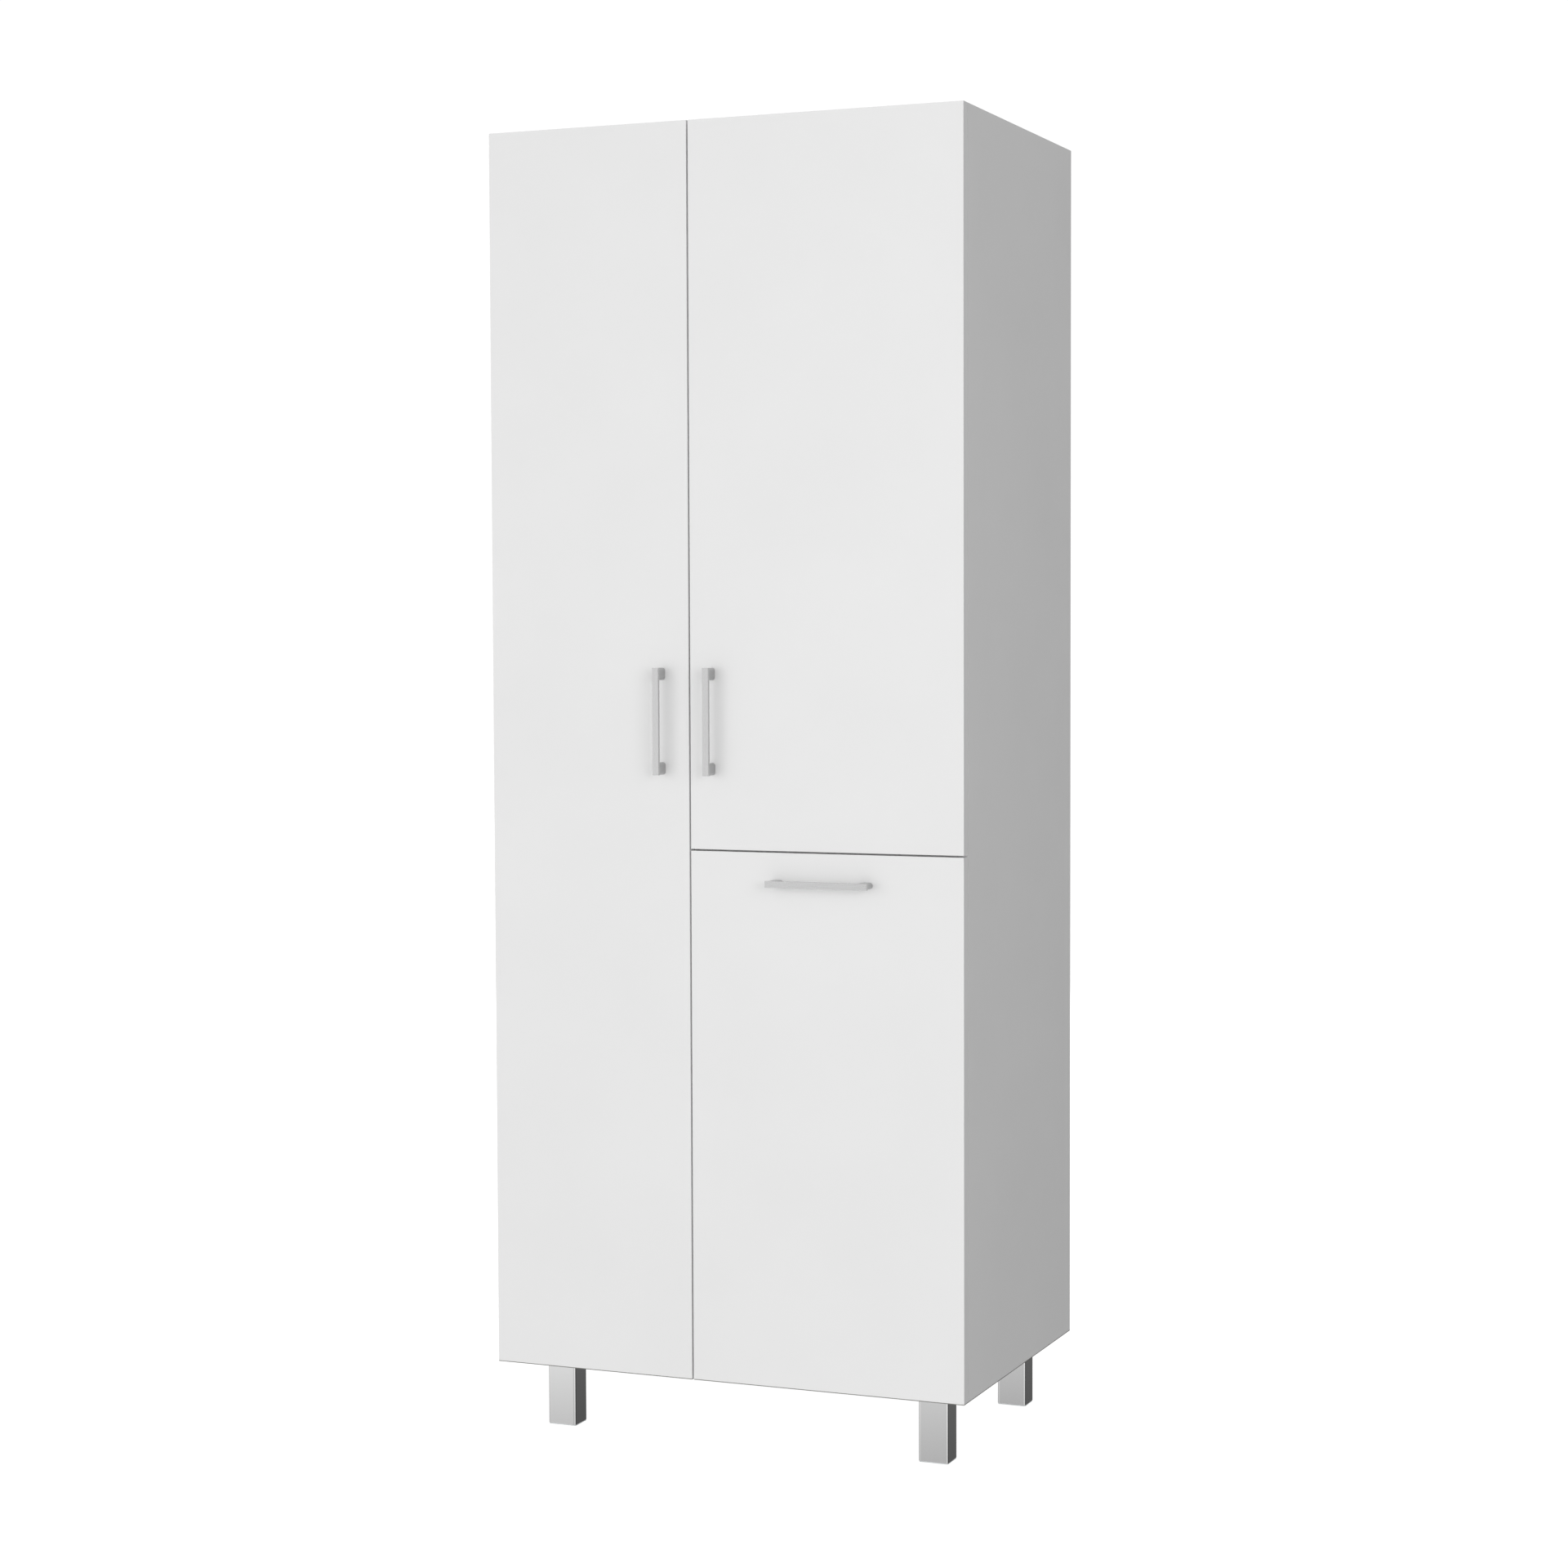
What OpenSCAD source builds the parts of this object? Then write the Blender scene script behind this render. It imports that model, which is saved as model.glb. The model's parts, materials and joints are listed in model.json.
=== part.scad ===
// Tall pantry cabinet on four metal legs: a full-height door on the left, a shorter door on the
// upper right and a tilt-out bin below it. Origin on the floor under the middle of the whole
// object, +X to the right of a person facing the fronts, +Y to the back, +Z up.

/* [Cabinet] */
// Overall width
cab_w = 650; // [620:5:700]
// Depth from the faces of the fronts to the back
cab_d = 446; // [430:2:480]
// Height of the cabinet box, without the legs
box_h = 1609; // [1560:1:1660]
// Height of the box above the floor
leg_h = 94; // [80:1:120]
// Thickness of the carcass and bin boards
board = 15; // [15:0.5:18]
// Thickness of the back panels
back_t = 3; // [2.5:0.5:4]

/* [Fronts] */
// Thickness of the doors and of the bin front
front_t = 15; // [15:0.5:18]
// Gap between the fronts and the carcass edges
front_gap = 1; // [1:0.1:2]
// Gap between neighbouring fronts
seam = 2.4; // [2:0.2:4]
// From the left edge to the vertical seam
seam_x = 280.8; // [270:0.1:300]
// From the bottom of the box to the horizontal seam
seam_z = 684.9; // [670:0.1:700]

/* [Handles] */
// Length of a handle bar
handle_l = 137; // [134:1:150]
// Width of a handle bar
handle_w = 8.2; // [8:0.1:12]
// Thickness of a handle bar
handle_t = 4.5; // [3:0.5:6]
// How far a handle stands off its front
handle_reach = 22.5; // [20:0.5:30]
// Length of a post along the bar
post_l = 16; // [12:1:20]
// Height of the middle of the door handles above the bottom of the box
door_handle_z = 848.9; // [800:0.1:900]
// From the vertical seam to the left handle
left_handle_in = 38; // [30:0.1:60]
// From the vertical seam to the right handle
right_handle_in = 31.4; // [28:0.1:60]
// From the left edge of the cabinet to the middle of the bin handle
bin_handle_x = 461.3; // [440:0.1:480]
// From the horizontal seam down to the bin handle
bin_handle_drop = 39.5; // [30:0.5:60]

/* [Legs] */
// Width of a leg tube
leg_w = 40; // [35:0.5:45]
// Depth of a leg tube
leg_d = 35.5; // [32:0.5:40]
// Wall of a leg tube
leg_wall = 1.5; // [1:0.1:1.8]
// Rounding of the upright corners of a leg tube
leg_round = 3; // [2:0.1:4]
// From the sides of the cabinet to the legs
leg_side = 42.5; // [40:0.5:60]
// From the front edge of the carcass to the front legs
leg_front = 44; // [40:1:60]
// From the back of the cabinet to the back legs
leg_back = 32; // [30:1:60]

/* [Shelves] */
// Height of the fixed board on the left, above the bottom of the box
left_fixed_z = 760; // [740:1:780]
// Height of the lower loose shelf on the left
left_lower_z = 400; // [380:1:450]
// Height of the upper loose shelf on the left
left_upper_z = 1180; // [1150:1:1250]
// Height of the lower loose shelf on the right
right_lower_z = 993; // [960:1:1010]
// Height of the upper loose shelf on the right
right_upper_z = 1293; // [1270:1:1350]
// How far the loose shelves stand back from the front edge of the carcass
shelf_setback = 20; // [15:1:40]

/* [Bin] */
// Depth of the bin behind the front edge of the carcass
bin_d = 340; // [300:5:350]
// Play between the bin and the boards beside it
bin_play = 3; // [2:0.5:5]
// Height of the rail that stops the bin
rail_h = 40; // [30:1:50]

/* [Hidden] */
$fn = 48;

white = "#f1f1ef";
metal = "#b9babb";
zinc = "#c9ccd0";
chrome = "#a9abad";
hardboard = "#e9e7e2";
beech = "#d8b98a";
pale_plastic = "#dfe3e5";

eps = 0.02;      // play between parts of one body
cut = 1;         // how far a cutting shape runs past a face

// Planes across the depth
total_d = cab_d + handle_reach;
back_y = total_d / 2;
face_y = handle_reach - total_d / 2;
edge_y = face_y + front_t + front_gap;       // front edge of the carcass
inner_back_y = back_y - back_t;
carcass_d = inner_back_y - edge_y;

// Planes across the width and the height
left_x = -cab_w / 2;
right_x = cab_w / 2;
base_z = leg_h;
top_z = leg_h + box_h;
split_x = left_x + seam_x;
split_z = base_z + seam_z;
left_in = left_x + board;                    // inner face of the left side
right_in = right_x - board;
part_l = split_x - board / 2;                // left face of the partition
part_r = split_x + board / 2;
shelf_z = split_z - board / 2;               // underside of the board above the bin

// Back panels in a rebate of the side panels
rebate_w = 8;
back_gap = 1;                                // between the two back panels
nail_r = 0.7;
nail_head_r = 1.6;
nail_head_t = 0.6;
nail_l = 16;
nail_rows = 6;
nail_end = 60;                               // from the ends of the back panels to the first nail
left_nail_in = 40;                           // from the boards beside a row to its outer nails
right_nail_in = 50;

// Joint fittings
cam_in = 34;
cam_r = 7.4;
cam_t = 12;
cam_slot_w = 1.4;                            // cross slot in the face of a cam
cam_slot_t = 1;
bolt_r = 3;
bolt_thread_r = 2.5;
bolt_thread_l = 11;
bolt_head_gap = 4;
dowel_r = 4;
dowel_l = 28;
dowel_in_panel = 10;
cam_front = 45;                              // from the front edge of the carcass to the first cam
cam_back = 60;                               // from the back panels to the second cam
dowel_step = 32;                             // from a cam to its dowel

// Shelf pins
pin_step = 32;                               // between neighbouring pin holes
pin_r = 2.5;
pin_in = 8;
pin_out = 9;
pin_collar_r = 3.5;
pin_collar_t = 1;
pin_edge = 64;
shelf_play = 2;

// Screws
screw_r = 1.75;
screw_l = 12;
screw_head_r = 3.5;
screw_head_t = 1.8;
recess_w = 0.8;                              // cross recess in a screw head
recess_t = 1;

// Legs
flange_w = 64;
flange_d = 60;
flange_t = 2;
flange_screw_x = 26;
flange_screw_y = 24;
glide_t = 1.5;
glide_plug = 12;

// Concealed hinges. Positions are measured from the outer face of the side panel (first value)
// and from the front edge of the carcass (second value). The link turns on the arm at arm_pivot
// and carries the door's cup at cup_pivot.
arm_pivot = [40, 4];
link_bend = [18.9, -9.8];
cup_pivot = [10, -8.6];
link_t = 2.5;
link_h = 8;
arm_eye_r = 3.2;
link_eye_r = 3;
link_eye_h = 12.4;
cup_eye_r = 2.4;
cup_eye_h = 12;
arm_pin_r = 1.2;
cup_pin_r = 1;
cup_pin_l = 26.2;
pivot_play = 0.05;
arm_h = 16;
arm_wall = 1.6;
arm_low = 19;                                // reach of the arm's sides towards the panel
arm_high = 32;
arm_from = 20;
arm_to = 58;
arm_end_t = 2;                               // front wall of the arm's channel
arm_neck = [26.5, 26];                       // where the curved neck meets the arm's channel
arm_fork_to = 12;                            // how far back the fork for the link reaches
plate_wing_h = 50;
plate_wing_w = 14;
plate_wing_t = 3;
plate_y = 37;
plate_block_in = 4;                          // the block is this much shorter than the arm at each end
plate_screw_pitch = 32;
plate_block_h = 12;
cup_x = 20.5;
cup_r = 17.5;
cup_wall = 1.2;
cup_depth = 11.5;
cup_floor = 1;
cup_rim = 0.6;
cup_notch_h = 9.2;                           // notch in the cup's wall that the link swings through
cup_notch_depth = 2;
cup_notch_to = 6.5;
cup_flange_from = 18;
cup_flange_to = 36;
cup_flange_h = 58;
cup_flange_t = 0.8;
cup_screw_x = 26.5;
cup_screw_pitch = 48;
cup_screw_r = 1.5;
cup_screw_l = 10;
cup_screw_head_r = 3.2;
cup_screw_head_t = 1.5;
hinge_end = 90;                              // from a door's end to its outer hinge
left_hinge_z = [hinge_end, 560, 1050, box_h - hinge_end];
right_hinge_z = [seam_z + hinge_end, 1148, box_h - hinge_end];

// Handle screws
handle_pitch = 128;                          // between the two screws of a handle
handle_screw_r = 1.95;
handle_screw_in = 8;
handle_head_r = 3.5;
handle_head_t = 1.6;
handle_hole_r = 2.25;

// Bin and its butt hinges. The pin lies just under the gap behind the front panel.
bin_axis_y = edge_y - 0.9;
bin_axis_z = base_z - 2.1;
rail_setback = 4;
bin_sweep_play = 4;
bin_r = shelf_z - rail_h - bin_axis_z - bin_sweep_play;      // sweep of the cheeks
bin_catch = 18;                              // how far the bin's back reaches past that sweep
bin_lift = 3;                                // play over the bottom panel
bin_l = part_r + bin_play;
bin_rr = right_in - bin_play;
bin_low = base_z + board + bin_lift;
bin_front_in = edge_y - front_gap;           // inner face of the front panel
bin_back_y = edge_y + bin_d;
bin_hinge_x = [-124, 0, 124];
bin_front_cam_z = [60, 480];                 // cams above the underside of the bin
bin_back_cam_z = [80, 440];
bin_bottom_cam_in = [70, 80];                // from the front and the back of the bin
bin_mid_x = (split_x + right_x) / 2;
leaf_l = 50;
leaf_t = 1.2;
leaf_reach = 20;
leaf_up = 16;
knuckle_r = 1.75;
knuckle_l = 16;
knuckle_play = 0.3;
bin_pin_r = 0.9;
leaf_screw_step = 17;
leaf_screw_in = 12;                          // from the carcass edge to the fixed leaf's screws
leaf_lift = 0.2;                             // from the underside of the box up to the moving leaf

// Anti-tip brackets
tip_x = [-180, 130];
tip_w = 30;
tip_leg = 38;
tip_t = 2;
tip_hole_r = 2.75;
tip_drop = 24;
tip_screw_in = 26.6;                         // from the back panels to the bracket's wood screws

// ---------------------------------------------------------------- shared shapes

// A box between two corners
module block(a, b) {
    translate(a) cube(b - a);
}

// A straight strip of width w from p to q
module strip(p, q, w) {
    along = (q - p) / norm(q - p);
    side = [-along[1], along[0]] * w / 2;
    polygon([p + side, q + side, q - side, p - side]);
}

// A cylinder along Y that starts at the origin
module rod_y(r, h) {
    rotate([-90, 0, 0]) cylinder(r = r, h = h);
}

// A cylinder along X that starts at the origin
module rod_x(r, h) {
    rotate([0, 90, 0]) cylinder(r = r, h = h);
}

// ---------------------------------------------------------------- joint fittings

// Each place is [position on the joint plane, rotation]. The fitting's own +X runs into the board
// that holds the cam, and its +Z points out of the cam's pocket.
cam_ys = [edge_y + cam_front, inner_back_y - cam_back];
dowel_ys = [cam_ys[0] + dowel_step, cam_ys[1] - dowel_step];

function board_cams(xl, xr, z) = [
    for (y = cam_ys) each [[[xl, y, z], [180, 0, 0]], [[xr, y, z], [0, 180, 0]]]
];
function board_dowels(xl, xr, z) = [for (y = dowel_ys, x = [xl, xr]) [[x, y, z], [0, 90, 0]]];

top_mid_z = top_z - board / 2;
bottom_mid_z = base_z + board / 2;
left_fixed_mid = base_z + left_fixed_z;
top_cams = board_cams(left_in, right_in, top_mid_z);
bottom_cams = board_cams(left_in, right_in, bottom_mid_z);
bin_shelf_cams = board_cams(part_r, right_in, split_z);
left_shelf_cams = board_cams(left_in, part_l, left_fixed_mid);
partition_cams = [
    for (y = cam_ys) each [
        [[split_x, y, top_z - board], [0, 90, 0]],
        [[split_x, y, base_z + board], [0, -90, 0]]
    ]
];
top_dowels = board_dowels(left_in, right_in, top_mid_z);
bottom_dowels = board_dowels(left_in, right_in, bottom_mid_z);
bin_shelf_dowels = board_dowels(part_r, right_in, split_z);
left_shelf_dowels = board_dowels(left_in, part_l, left_fixed_mid);
partition_dowels = [
    for (y = dowel_ys, z = [top_z - board, base_z + board]) [[split_x, y, z], [0, 0, 0]]
];
rail_mid_y = edge_y + rail_setback + board / 2;
rail_dowels = [
    for (x = [part_r, right_in], z = [0.25, 0.75])
        [[x, rail_mid_y, shelf_z - z * rail_h], [0, 90, 0]]
];

// Cams of the bin: two in each cheek towards the front, and two at each end of its back and bottom
cheek_mid_l = bin_l + board / 2;
cheek_mid_r = bin_rr - board / 2;
bin_in_l = bin_l + board;
bin_in_r = bin_rr - board;
bin_front_cams = [
    for (z = bin_front_cam_z) each [
        [[cheek_mid_l, bin_front_in, bin_low + z], [90, 0, 90]],
        [[cheek_mid_r, bin_front_in, bin_low + z], [-90, 0, 90]]
    ]
];
bin_back_cams = [
    for (z = bin_back_cam_z) each [
        [[bin_in_l, bin_back_y - board / 2, bin_low + z], [-90, 0, 0]],
        [[bin_in_r, bin_back_y - board / 2, bin_low + z], [-90, 180, 0]]
    ]
];
bin_bottom_cams = [
    for (y = [edge_y + bin_bottom_cam_in[0], bin_back_y - bin_bottom_cam_in[1]]) each [
        [[bin_in_l, y, bin_low + board / 2], [180, 0, 0]],
        [[bin_in_r, y, bin_low + board / 2], [0, 180, 0]]
    ]
];

module at(places) {
    for (p = places) translate(p[0]) rotate(p[1]) children();
}

module cam_pocket() {
    translate([cam_in, 0, board / 2 - cam_t - eps]) cylinder(r = cam_r + eps, h = cam_t + cut);
}

module cam_lock() {
    difference() {
        translate([cam_in, 0, board / 2 - cam_t]) cylinder(r = cam_r, h = cam_t);
        rod_x(bolt_r + eps, cam_in);
        for (turn = [0, 90]) translate([cam_in, 0, board / 2]) rotate([0, 0, turn])
            cube([cam_r, cam_slot_w, 2 * cam_slot_t], center = true);
    }
}

module cam_bolt(play) {
    translate([-bolt_thread_l, 0, 0]) rod_x(bolt_thread_r + play, bolt_thread_l);
    rod_x(bolt_r + play, cam_in - bolt_head_gap);
}

module dowel(play) {
    translate([0, 0, -dowel_l / 2]) cylinder(r = dowel_r + play, h = dowel_l);
}

// A dowel whose longer end lies in the board, the shorter one in the panel
module panel_dowels(places, play) {
    for (p = places) {
        into = p[1][1] == 0 ? [0, 0, p[0][2] > (base_z + top_z) / 2 ? -1 : 1]
            : [p[0][0] == left_in || p[0][0] == part_r ? 1 : -1, 0, 0];
        translate(p[0] + into * (dowel_l / 2 - dowel_in_panel)) rotate(p[1]) dowel(play);
    }
}

module fitting_cuts(cams, dowels) {
    at(cams) {
        cam_pocket();
        cam_bolt(eps);
    }
    panel_dowels(dowels, eps);
}

// ---------------------------------------------------------------- back panel nails

nail_top = top_z - board / 2;
nail_bottom = base_z + board / 2;
side_nail_in = board - rebate_w / 2;
part_nail_in = board / 4;
function spread(a, b, n) = [for (i = [0:n - 1]) a + (b - a) * i / (n - 1)];
nail_zs = spread(base_z + nail_end, top_z - nail_end, nail_rows);
function nail_column(x) = [for (z = nail_zs) [x, z]];
function nail_row(xl, xr, z) = [for (x = spread(xl, xr, 3)) [x, z]];
left_nails = concat(
    nail_column(left_x + side_nail_in),
    nail_column(split_x - part_nail_in),
    nail_row(left_in + left_nail_in, part_l - left_nail_in, nail_top),
    nail_row(left_in + left_nail_in, part_l - left_nail_in, nail_bottom)
);
right_nails = concat(
    nail_column(split_x + part_nail_in),
    nail_column(right_x - side_nail_in),
    nail_row(part_r + right_nail_in, right_in - right_nail_in, nail_top),
    nail_row(part_r + right_nail_in, right_in - right_nail_in, nail_bottom)
);

module nails(places, play) {
    for (p = places) translate([p[0], back_y, p[1]]) {
        translate([0, -nail_l, 0]) rod_y(nail_r + play, nail_l);
        translate([0, -nail_head_t - play, 0]) rod_y(nail_head_r + play, nail_head_t + play);
    }
}

// ---------------------------------------------------------------- shelf pins

left_shelf_zs = [base_z + left_lower_z, base_z + left_upper_z];
right_shelf_zs = [base_z + right_lower_z, base_z + right_upper_z];
pin_ys = [edge_y + pin_edge, inner_back_y - pin_edge];

// Pin holes in the face at x that looks towards dir, three steps high at each shelf
module pin_holes(x, dir, zs) {
    for (z = zs, y = pin_ys, step = [-1, 0, 1])
        translate([x, y, z - board / 2 - pin_r + step * pin_step]) rotate([0, -90 * dir, 0])
            translate([0, 0, -cut]) cylinder(r = pin_r, h = pin_in + cut);
}

module pins(x, dir, zs) {
    for (z = zs, y = pin_ys)
        translate([x, y, z - board / 2 - pin_r]) rotate([0, 90 * dir, 0]) {
            translate([0, 0, -pin_in + eps]) cylinder(r = pin_r - eps, h = pin_in + pin_out - eps);
            cylinder(r = pin_collar_r, h = pin_collar_t);
        }
}

// ---------------------------------------------------------------- screws

// A round head of radius r standing on z = 0, with a cross recess in its top
module screw_head(r, t) {
    difference() {
        cylinder(r = r, h = t);
        for (turn = [0, 90]) translate([0, 0, t]) rotate([0, 0, turn])
            cube([1.2 * r, recess_w, 2 * recess_t], center = true);
    }
}

// A screw whose head sits on z = 0 and whose shank points down
module screw() {
    translate([0, 0, -screw_l]) cylinder(r = screw_r, h = screw_l);
    screw_head(screw_head_r, screw_head_t);
}

module screw_hole() {
    translate([0, 0, -screw_l - eps]) cylinder(r = screw_r + eps, h = screw_l + cut);
}

leg_xs = [left_x + leg_side + leg_w / 2, right_x - leg_side - leg_w / 2];
leg_ys = [edge_y + leg_front + leg_d / 2, back_y - leg_back - leg_d / 2];

module at_leg_screws() {
    for (x = leg_xs, y = leg_ys, sx = [-1, 1], sy = [-1, 1])
        translate([x + sx * flange_screw_x, y + sy * flange_screw_y, base_z - flange_t])
            rotate([180, 0, 0]) children();
}

// Every hinge of the left door; the right door's are the mirror image
module at_left_hinges() {
    for (z = left_hinge_z) translate([left_x, edge_y, base_z + z]) children();
}

module at_right_hinges() {
    for (z = right_hinge_z) translate([right_x, edge_y, base_z + z]) mirror([1, 0, 0]) children();
}

module at_plate_screws() {
    for (s = [-1, 1])
        translate([board + plate_wing_t, plate_y, s * plate_screw_pitch / 2])
            rotate([0, 90, 0]) children();
}

module at_tip_screws() {
    for (x = tip_x, s = [-1, 1])
        translate([x + s * tip_w / 4, inner_back_y - tip_screw_in, top_z - board - tip_t])
            rotate([180, 0, 0]) children();
}

module at_bin_hinges() {
    for (x = bin_hinge_x) translate([bin_mid_x + x, 0, 0]) children();
}

module at_leaf_screws() {
    at_bin_hinges() for (s = [-1, 1])
        translate([s * leaf_screw_step, edge_y + leaf_screw_in, base_z - leaf_t])
            rotate([180, 0, 0]) children();
}

// ---------------------------------------------------------------- carcass boards

module side_board(x) {
    difference() {
        block([x, edge_y, base_z], [x + board, back_y, top_z]);
        block([x < 0 ? x + board - rebate_w : x - cut, inner_back_y, base_z - cut],
            [x < 0 ? x + board + cut : x + rebate_w, back_y + cut, top_z + cut]);
    }
}

module left_side_panel() {
    color(white) difference() {
        side_board(left_x);
        fitting_cuts(concat(top_cams, bottom_cams, left_shelf_cams),
            concat(top_dowels, bottom_dowels, left_shelf_dowels));
        nails(left_nails, eps);
        pin_holes(left_in, 1, left_shelf_zs);
        at_left_hinges() at_plate_screws() screw_hole();
    }
}

module right_side_panel() {
    color(white) difference() {
        side_board(right_in);
        fitting_cuts(concat(top_cams, bottom_cams, bin_shelf_cams),
            concat(top_dowels, bottom_dowels, bin_shelf_dowels, rail_dowels));
        nails(right_nails, eps);
        pin_holes(right_in, -1, right_shelf_zs);
        at_right_hinges() at_plate_screws() screw_hole();
    }
}

module level_board(xl, xr, z, y0 = edge_y, y1 = inner_back_y) {
    block([xl, y0, z], [xr, y1, z + board]);
}

module top_panel() {
    color(white) difference() {
        level_board(left_in, right_in, top_z - board);
        fitting_cuts(concat(top_cams, partition_cams), concat(top_dowels, partition_dowels));
        nails(concat(left_nails, right_nails), eps);
        at_tip_screws() screw_hole();
    }
}

module bottom_panel() {
    color(white) difference() {
        level_board(left_in, right_in, base_z);
        fitting_cuts(concat(bottom_cams, partition_cams), concat(bottom_dowels, partition_dowels));
        nails(concat(left_nails, right_nails), eps);
        at_leg_screws() screw_hole();
        at_leaf_screws() screw_hole();
    }
}

module centre_partition() {
    color(white) difference() {
        block([part_l, edge_y, base_z + board], [part_r, inner_back_y, top_z - board]);
        fitting_cuts(concat(partition_cams, bin_shelf_cams, left_shelf_cams),
            concat(partition_dowels, bin_shelf_dowels, left_shelf_dowels, rail_dowels));
        nails(concat(left_nails, right_nails), eps);
        pin_holes(part_l, -1, left_shelf_zs);
        pin_holes(part_r, 1, right_shelf_zs);
    }
}

module bin_top_shelf() {
    color(white) difference() {
        level_board(part_r, right_in, shelf_z);
        fitting_cuts(bin_shelf_cams, bin_shelf_dowels);
    }
}

module bin_stop_rail() {
    color(white) difference() {
        block([part_r, edge_y + rail_setback, shelf_z - rail_h],
            [right_in, edge_y + rail_setback + board, shelf_z]);
        panel_dowels(rail_dowels, eps);
    }
}

module left_fixed_shelf() {
    color(white) difference() {
        level_board(left_in, part_l, left_fixed_mid - board / 2);
        fitting_cuts(left_shelf_cams, left_shelf_dowels);
    }
}

module loose_shelf(xl, xr, z) {
    color(white) level_board(xl + shelf_play, xr - shelf_play, z - board / 2,
        edge_y + shelf_setback, inner_back_y - shelf_play);
}

module left_lower_shelf() { loose_shelf(left_in, part_l, left_shelf_zs[0]); }
module left_upper_shelf() { loose_shelf(left_in, part_l, left_shelf_zs[1]); }
module right_lower_shelf() { loose_shelf(part_r, right_in, right_shelf_zs[0]); }
module right_upper_shelf() { loose_shelf(part_r, right_in, right_shelf_zs[1]); }

module back_sheet(xl, xr, places, x_hole) {
    color(hardboard) difference() {
        block([xl, inner_back_y, base_z], [xr, back_y, top_z]);
        nails(places, eps);
        translate([x_hole, inner_back_y - cut, top_z - board - tip_drop])
            rod_y(tip_hole_r, back_t + 2 * cut);
    }
}

module back_panel_left() {
    back_sheet(left_x + board - rebate_w, split_x - back_gap / 2, left_nails, tip_x[0]);
}

module back_panel_right() {
    back_sheet(split_x + back_gap / 2, right_x - board + rebate_w, right_nails, tip_x[1]);
}

module back_panel_nails() {
    color(zinc) nails(concat(left_nails, right_nails), 0);
}

// ---------------------------------------------------------------- carcass fittings

module shelf_pins() {
    color(zinc) {
        pins(left_in, 1, left_shelf_zs);
        pins(part_l, -1, left_shelf_zs);
        pins(part_r, 1, right_shelf_zs);
        pins(right_in, -1, right_shelf_zs);
    }
}

carcass_cams = concat(top_cams, bottom_cams, partition_cams, bin_shelf_cams, left_shelf_cams);
bin_cams = concat(bin_front_cams, bin_back_cams, bin_bottom_cams);

module cam_locks() { color(zinc) at(carcass_cams) cam_lock(); }
module cam_bolts() { color(zinc) at(carcass_cams) cam_bolt(0); }
module bin_cam_locks() { color(zinc) at(bin_cams) cam_lock(); }
module bin_cam_bolts() { color(zinc) at(bin_cams) cam_bolt(0); }

module dowels() {
    color(beech) panel_dowels(concat(top_dowels, bottom_dowels, partition_dowels,
        bin_shelf_dowels, left_shelf_dowels, rail_dowels), 0);
}

module carcass_screws() {
    color(zinc) {
        at_leg_screws() screw();
        at_tip_screws() screw();
        at_leaf_screws() screw();
        at_left_hinges() at_plate_screws() screw();
        at_right_hinges() at_plate_screws() screw();
    }
}

module anti_tip_brackets() {
    color(zinc) for (x = tip_x) difference() {
        union() {
            block([x - tip_w / 2, inner_back_y - tip_leg, top_z - board - tip_t],
                [x + tip_w / 2, inner_back_y, top_z - board]);
            block([x - tip_w / 2, inner_back_y - tip_t, top_z - board - tip_leg],
                [x + tip_w / 2, inner_back_y, top_z - board]);
        }
        translate([x, inner_back_y - tip_t - cut, top_z - board - tip_drop])
            rod_y(tip_hole_r, tip_t + 2 * cut);
        at_tip_screws() screw_hole();
    }
}

module front_bumpers() {
    bumper_r = 3;
    bumper_t = front_gap - 0.1;
    bumper_end = 60;
    left_line = split_x - seam / 2 - bumper_r;
    right_line = split_x + seam / 2 + bumper_r;
    color(pale_plastic) for (p = [
        [left_line, base_z + bumper_end], [left_line, top_z - bumper_end],
        [right_line, split_z + bumper_end], [right_line, top_z - bumper_end],
        [right_line, split_z - bumper_end], [right_x - board / 2, split_z - bumper_end]
    ]) translate([p[0], edge_y - bumper_t, p[1]]) rod_y(bumper_r, bumper_t);
}

// ---------------------------------------------------------------- legs

// An upright block round the Z axis, w by d, with its upright corners rounded to r
module upright(w, d, r, z0, z1) {
    block([-w / 2, r - d / 2, z0], [w / 2, d / 2 - r, z1]);
    block([r - w / 2, -d / 2, z0], [w / 2 - r, d / 2, z1]);
    for (x = [r - w / 2, w / 2 - r], y = [r - d / 2, d / 2 - r])
        translate([x, y, z0]) cylinder(r = r, h = z1 - z0);
}

module leg(x, y) {
    bore_w = leg_w - 2 * leg_wall;
    bore_d = leg_d - 2 * leg_wall;
    color(chrome) difference() {
        translate([x, y, 0]) difference() {
            union() {
                block([-flange_w / 2, -flange_d / 2, base_z - flange_t],
                    [flange_w / 2, flange_d / 2, base_z]);
                upright(leg_w, leg_d, leg_round, glide_t, base_z);
            }
            upright(bore_w, bore_d, leg_round - leg_wall, glide_t - cut, base_z - flange_t);
        }
        at_leg_screws() screw_hole();
    }
}

module leg_front_left() { leg(leg_xs[0], leg_ys[0]); }
module leg_front_right() { leg(leg_xs[1], leg_ys[0]); }
module leg_back_left() { leg(leg_xs[0], leg_ys[1]); }
module leg_back_right() { leg(leg_xs[1], leg_ys[1]); }

module leg_glides() {
    foot_in = 0.5;
    plug_w = leg_w - 2 * leg_wall - 2 * eps;
    plug_d = leg_d - 2 * leg_wall - 2 * eps;
    color(pale_plastic) for (x = leg_xs, y = leg_ys) translate([x, y, 0]) {
        upright(leg_w - 2 * foot_in, leg_d - 2 * foot_in, leg_round - foot_in, 0, glide_t);
        upright(plug_w, plug_d, leg_round - leg_wall, 0, glide_plug);
    }
}

// ---------------------------------------------------------------- concealed hinges
// Drawn for a left-hand hinge: x from the outer face of the side, y from the carcass edge.

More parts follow.
